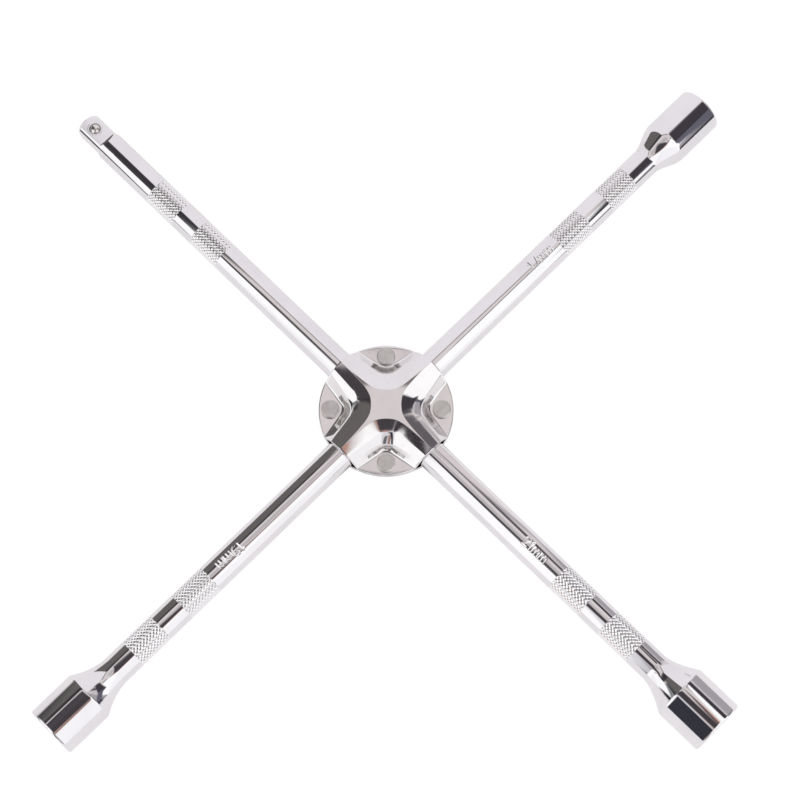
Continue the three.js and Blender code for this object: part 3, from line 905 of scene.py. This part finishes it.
for name, side in (("front_plate", 1), ("back_plate", -1)):
    place(hub_plate(f"{name}_piece", side), name, chrome_hub, "wrench", "hub_chrome")
for i in range(1, 5):
    low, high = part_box(f"rivet_{i}")
    rivet = rivet_piece(f"rivet_{i}_piece", middle_of(f"rivet_{i}"), (high - low).x / 2, high.z)
    place(rivet, f"rivet_{i}", rivet_steel, "wrench", "rivet_steel")

low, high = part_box("detent_spring")
spring = spring_piece("detent_spring_piece", (ball_centre.x, 0, 0), low.z, high.z)
place(spring, "detent_spring", spring_steel, "wrench", "spring_steel")
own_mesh(spring)

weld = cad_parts["centre_weld"]
weld.data.materials.clear()
weld.data.materials.append(weld_steel)

# ---------------- floor, light and camera

CAMERA_AZIMUTH = radians(44.18)
CAMERA_ELEVATION = radians(73.19)
CAMERA_ROLL = radians(0.726)
CAMERA_DISTANCE = 1.1158
CAMERA_RIGHT = 7.319 * MM  # how far to the right of the hub's centre the middle of the view lies
CAMERA_UP = 5.674 * MM  # and how far above it
CAMERA_LENS = 95.1  # in millimetres, as is the sensor's width
CAMERA_SENSOR = 36.0

FLOOR_REACH = 6.0
FLOOR_GAP = 0.05 * MM
GAP_SHADE = 0.85  # how much darker the floor's reflection is under the hub
GAP_FADE = 12 * MM  # over which that ends, outwards from the hub
GAP_GLOW = 0.06

TENT_RADIUS = 0.8
TENT_LOWEST = -0.95  # the lowest direction that the tent's map tells apart, as a height on the unit sphere
PLATING = 0.9  # how much of the light the chrome gives back


def only_seen(tree, seen, reflected):
    """One shader for what the camera sees directly, and another for what the chrome and the floor see."""
    path = tree.nodes.new("ShaderNodeLightPath")
    choice = tree.nodes.new("ShaderNodeMixShader")
    tree.links.new(path.outputs["Is Camera Ray"], choice.inputs[0])
    tree.links.new(reflected, choice.inputs[1])
    tree.links.new(seen, choice.inputs[2])
    return choice.outputs[0]


def glow(tree, colour, strength):
    """Light of one colour."""
    node = tree.nodes.new("ShaderNodeEmission")
    node.inputs["Color"].default_value = (*colour, 1)
    node.inputs["Strength"].default_value = strength
    return node.outputs[0]


def glowing_floor(tree, colour, strength, white):
    """A white floor that gives back some of the light that falls on it, over a glow of its own."""
    matt = tree.nodes.new("ShaderNodeBsdfDiffuse")
    matt.inputs["Color"].default_value = (white, white, white, 1)
    both = tree.nodes.new("ShaderNodeAddShader")
    tree.links.new(matt.outputs[0], both.inputs[0])
    tree.links.new(glow(tree, colour, strength), both.inputs[1])
    return both.outputs[0]


def shaded_floor(tree, lit):
    """The floor as the chrome sees it: dark in the narrow gap under the hub."""
    position = tree.nodes.new("ShaderNodeNewGeometry").outputs["Position"]
    spread = tree.nodes.new("ShaderNodeVectorMath")
    spread.operation = "LENGTH"
    tree.links.new(position, spread.inputs[0])
    away = spread.outputs["Value"]
    shade = mapped(tree, away, PLATE_RADIUS, PLATE_RADIUS + GAP_FADE, GAP_SHADE, 0.0, smooth=True)
    both = tree.nodes.new("ShaderNodeMixShader")
    tree.links.new(shade, both.inputs["Fac"])
    tree.links.new(lit, both.inputs[1])
    tree.links.new(glow(tree, (1, 1, 1), GAP_GLOW), both.inputs[2])
    return both.outputs[0]


def bare_material(name, mesh):
    """Gives a mesh a material with nothing but an output, and returns its node tree."""
    material = bpy.data.materials.new(name)
    material.use_nodes = True
    tree = material.node_tree
    tree.nodes.remove(tree.nodes["Principled BSDF"])
    mesh.materials.append(material)
    return tree


floor_mesh = bpy.data.meshes.new("floor")
floor_z = cad_box[0].z - FLOOR_GAP
corners = [(x * FLOOR_REACH, y * FLOOR_REACH, floor_z) for x, y in ((-1, -1), (1, -1), (1, 1), (-1, 1))]
floor_mesh.from_pydata(corners, [], [(0, 1, 2, 3)])
floor = add_object("floor", floor_mesh)
paint = bare_material("floor_paint", floor_mesh)
seen = glowing_floor(paint, colour=(1, 1, 1), strength=0.93, white=0.18)
reflected = glowing_floor(paint, colour=(1.0, 0.975, 0.995), strength=0.57, white=0.45)
floor_surface = only_seen(paint, seen, shaded_floor(paint, reflected))
paint.links.new(floor_surface, paint.nodes["Material Output"].inputs["Surface"])

# A round light tent stands over the object. Its panels are painted on a map of the tent: x and y are the
# view's own right and up, and the distance from the middle is tan(half the angle from straight up).

work = bmesh.new()
bmesh.ops.create_icosphere(work, subdivisions=5, radius=TENT_RADIUS)
tent_mesh = bpy.data.meshes.new("tent")
work.to_mesh(tent_mesh)
work.free()
tent = bare_material("tent_panels", tent_mesh)
place_on_tent = tent.nodes.new("ShaderNodeTexCoord").outputs["Object"]
unit = tent.nodes.new("ShaderNodeVectorMath")
unit.operation = "NORMALIZE"
tent.links.new(place_on_tent, unit.inputs[0])
split = tent.nodes.new("ShaderNodeSeparateXYZ")
tent.links.new(unit.outputs[0], split.inputs[0])
over_zenith = math_node(tent, "ADD", math_node(tent, "MAXIMUM", split.outputs[2], TENT_LOWEST), 1.0)
flat_x = math_node(tent, "DIVIDE", split.outputs[0], over_zenith)
flat_y = math_node(tent, "DIVIDE", split.outputs[1], over_zenith)


def along(point, angle):
    """How far a place on the map lies from a point, in a direction in degrees from the view's right."""
    turn = radians(angle)
    shift = -(point[0] * cos(turn) + point[1] * sin(turn))
    turn += CAMERA_AZIMUTH
    part = math_node(tent, "MULTIPLY_ADD", flat_x, cos(turn), shift)
    return math_node(tent, "MULTIPLY_ADD", flat_y, sin(turn), part)


def product(first, *others):
    """1 where all the masks are 1."""
    for other in others:
        first = math_node(tent, "MULTIPLY", first, other)
    return first


def beyond(point, angle, softness):
    """1 on the side of a point that a direction points to, and 0 on the other."""
    return mapped(tent, along(point, angle), -softness, softness, 0.0, 1.0, smooth=True)


def strip(start, end, start_width, end_width, softness):
    """1 in a strip of the map between two points, with a half-width at each end, and 0 outside it."""
    run, rise = end[0] - start[0], end[1] - start[1]
    length, angle = hypot(run, rise), degrees(atan2(rise, run))
    onward = along(start, angle)
    across = math_node(tent, "ABSOLUTE", along(start, angle + 90))
    half = math_node(tent, "MULTIPLY_ADD", onward, (end_width - start_width) / length, start_width)
    margin = math_node(tent, "SUBTRACT", half, across)
    inside = mapped(tent, margin, -softness, softness, 0.0, 1.0, smooth=True)
    begun = mapped(tent, onward, -softness, softness, 0.0, 1.0, smooth=True)
    ended = mapped(tent, onward, length - softness, length + softness, 1.0, 0.0, smooth=True)
    return product(inside, begun, ended)


def blot(centre, width, height, softness):
    """1 in an oval of the map, and 0 outside it."""
    x = math_node(tent, "DIVIDE", along(centre, 0), width)
    y = math_node(tent, "DIVIDE", along(centre, 90), height)
    reach = math_node(tent, "SQRT", math_node(tent, "MULTIPLY_ADD", x, x, math_node(tent, "MULTIPLY", y, y)))
    return mapped(tent, reach, 1 - softness, 1 + softness, 1.0, 0.0, smooth=True)


def shown(red, green, blue):
    """The light that chrome shows as an 8-bit colour."""
    return tuple(((c / 255 + 0.055) / 1.055) ** 2.4 / PLATING for c in (red, green, blue))


PANELS = [  # a mask and what the chrome shows there, painted over each other in this order
    # the two white boxes in front, and the white between them
    (product(beyond((-0.36, 0.04), -120, 0.03), beyond((-0.30, 0.0), 170, 0.02)), shown(255, 255, 255)),
    (product(beyond((0.30, 0.14), -105, 0.02), beyond((0.21, 0.0), -20, 0.02)), shown(255, 255, 255)),
    (beyond((0.0, -0.30), -90, 0.04), shown(246, 245, 247)),
    # the large pale panel behind, and a slit in front of it
    (product(beyond((-0.15, 0.24), 36, 0.012), beyond((0.12, 0.24), 143, 0.02),
             beyond((0, 0.235), 90, 0.012)), shown(227, 224, 228)),
    (strip((-0.13, 0.20), (0.11, 0.20), 0.014, 0.014, 0.006), shown(112, 104, 105)),
    # the right wall, its darker far part, its edges and dark patches, and the dark gap below it
    (product(beyond((0.33, 0.28), -42, 0.02), beyond((0.30, 0.20), 72, 0.03)), shown(196, 192, 194)),
    (product(beyond((0.33, 0.28), -42, 0.02), beyond((0.46, 0.25), 40, 0.02)), shown(160, 157, 161)),
    (strip((0.27, 0.32), (1.2, 1.15), 0.012, 0.02, 0.01), shown(172, 168, 171)),
    (blot((0.30, 0.315), 0.035, 0.05, 0.35), shown(96, 92, 96)),
    (blot((0.335, 0.235), 0.03, 0.055, 0.3), shown(84, 80, 84)),
    (strip((0.17, 0.26), (0.25, 0.31), 0.025, 0.025, 0.015), shown(120, 114, 116)),
    (strip((0.20, 0.26), (0.58, -0.03), 0.05, 0.10, 0.02), shown(62, 58, 64)),
    (strip((0.50, 0.05), (1.3, -0.06), 0.075, 0.10, 0.02), shown(96, 95, 106)),
    (strip((0.19, 0.03), (0.26, 0.11), 0.019, 0.019, 0.006), shown(50, 47, 50)),
    # the left wall and the dark gap below it
    (product(beyond((-0.15, 0.24), -144, 0.012), beyond((-0.30, 0.05), 62, 0.03),
             beyond((-0.80, 0.4), 0, 0.06), beyond((-0.31, 0.035), 127, 0.012)), shown(98, 95, 94)),
    (strip((-0.16, 0.235), (-0.46, 0.0), 0.045, 0.05, 0.014), shown(56, 54, 58)),
    (strip((-0.46, 0.10), (-0.78, 0.33), 0.05, 0.09, 0.05), shown(66, 65, 67)),
    (strip((-0.48, 0.08), (-0.85, 0.16), 0.03, 0.07, 0.04), shown(120, 122, 122)),
    # the dark room past the ends of the tent
    (blot((-1.05, 0.05), 0.22, 0.42, 0.2), shown(44, 42, 46)),
    (blot((1.08, 0.05), 0.22, 0.42, 0.2), shown(60, 58, 62)),
    (blot((0.0, -1.05), 0.42, 0.22, 0.2), shown(40, 38, 42)),
    # whoever stands in front
    (product(beyond((-0.26, -0.24), -43, 0.02), beyond((0.02, -0.3), -150, 0.02)), shown(216, 214, 218)),
    (strip((-0.15, -0.13), (-0.9, -1.0), 0.05, 0.2, 0.02), shown(255, 255, 255)),
    (strip((-0.10, -0.42), (-0.16, -1.1), 0.05, 0.09, 0.03), shown(152, 122, 110)),
    (strip((-0.01, -0.50), (0.12, -1.0), 0.03, 0.10, 0.04), shown(96, 95, 98)),
    (strip((-0.06, -0.29), (-0.50, -0.92), 0.05, 0.075, 0.015), shown(52, 52, 60)),
    # the camera and its arm
    (blot((0.0, 0.01), 0.10, 0.08, 0.4), shown(184, 179, 181)),
    (strip((-0.27, -0.015), (-0.40, -0.03), 0.048, 0.02, 0.012), shown(66, 62, 66)),
    (strip((-0.32, -0.02), (-0.38, 0.10), 0.03, 0.03, 0.012), shown(66, 62, 66)),
    (strip((-0.25, 0.01), (0.08, -0.20), 0.05, 0.06, 0.02), shown(72, 69, 73)),
    (strip((-0.20, -0.03), (-0.265, 0.03), 0.028, 0.02, 0.008), shown(66, 64, 68)),
    (strip((-0.19, -0.07), (-0.12, -0.22), 0.026, 0.022, 0.010), shown(58, 54, 58)),
    (strip((0.145, -0.055), (0.07, -0.19), 0.014, 0.014, 0.008), shown(110, 90, 84)),
    (blot((0.0, -0.165), 0.12, 0.085, 0.25), shown(66, 62, 66)),
    (blot((0.02, -0.275), 0.06, 0.03, 0.4), shown(176, 140, 126)),
    # a dark and a brown strap side by side
    (strip((0.150, -0.035), (0.050, -0.295), 0.009, 0.009, 0.005), shown(84, 78, 82)),
    (strip((0.171, -0.03), (0.071, -0.29), 0.009, 0.009, 0.005), shown(180, 136, 120)),
]
colour = shown(212, 205, 205)  # of the tent between its panels
for mask, tone in PANELS:
    colour = mixed(tent, mask, colour, tone)
panel_light = tent.nodes.new("ShaderNodeEmission")
tent.links.new(colour, panel_light.inputs["Color"])
tent.links.new(panel_light.outputs[0], tent.nodes["Material Output"].inputs["Surface"])
tent_mesh.materials[0].cycles.emission_sampling = "NONE"
tent_object = add_object("tent", tent_mesh)
tent_object.visible_camera = False

world = bpy.data.worlds.new("studio")
bpy.context.scene.world = world
world.use_nodes = True
world.node_tree.nodes["Background"].inputs["Color"].default_value = (1, 1, 1, 1)

back = Vector((sin(CAMERA_AZIMUTH) * cos(CAMERA_ELEVATION), -cos(CAMERA_AZIMUTH) * cos(CAMERA_ELEVATION),
               sin(CAMERA_ELEVATION)))
level = Vector((cos(CAMERA_AZIMUTH), sin(CAMERA_AZIMUTH), 0))
raised = back.cross(level)
right = level * cos(CAMERA_ROLL) + raised * sin(CAMERA_ROLL)
up = raised * cos(CAMERA_ROLL) - level * sin(CAMERA_ROLL)
lens = bpy.data.cameras.new("camera")
lens.lens = CAMERA_LENS
lens.sensor_width = CAMERA_SENSOR
lens.clip_start, lens.clip_end = 0.05, 50.0
camera = add_object("camera", lens)
turn = Matrix((right, up, back)).transposed().to_4x4()
stand = right * CAMERA_RIGHT + up * CAMERA_UP + back * CAMERA_DISTANCE
camera.matrix_world = Matrix.Translation(stand) @ turn
bpy.context.scene.camera = camera
bpy.context.scene.view_settings.view_transform = "Standard"
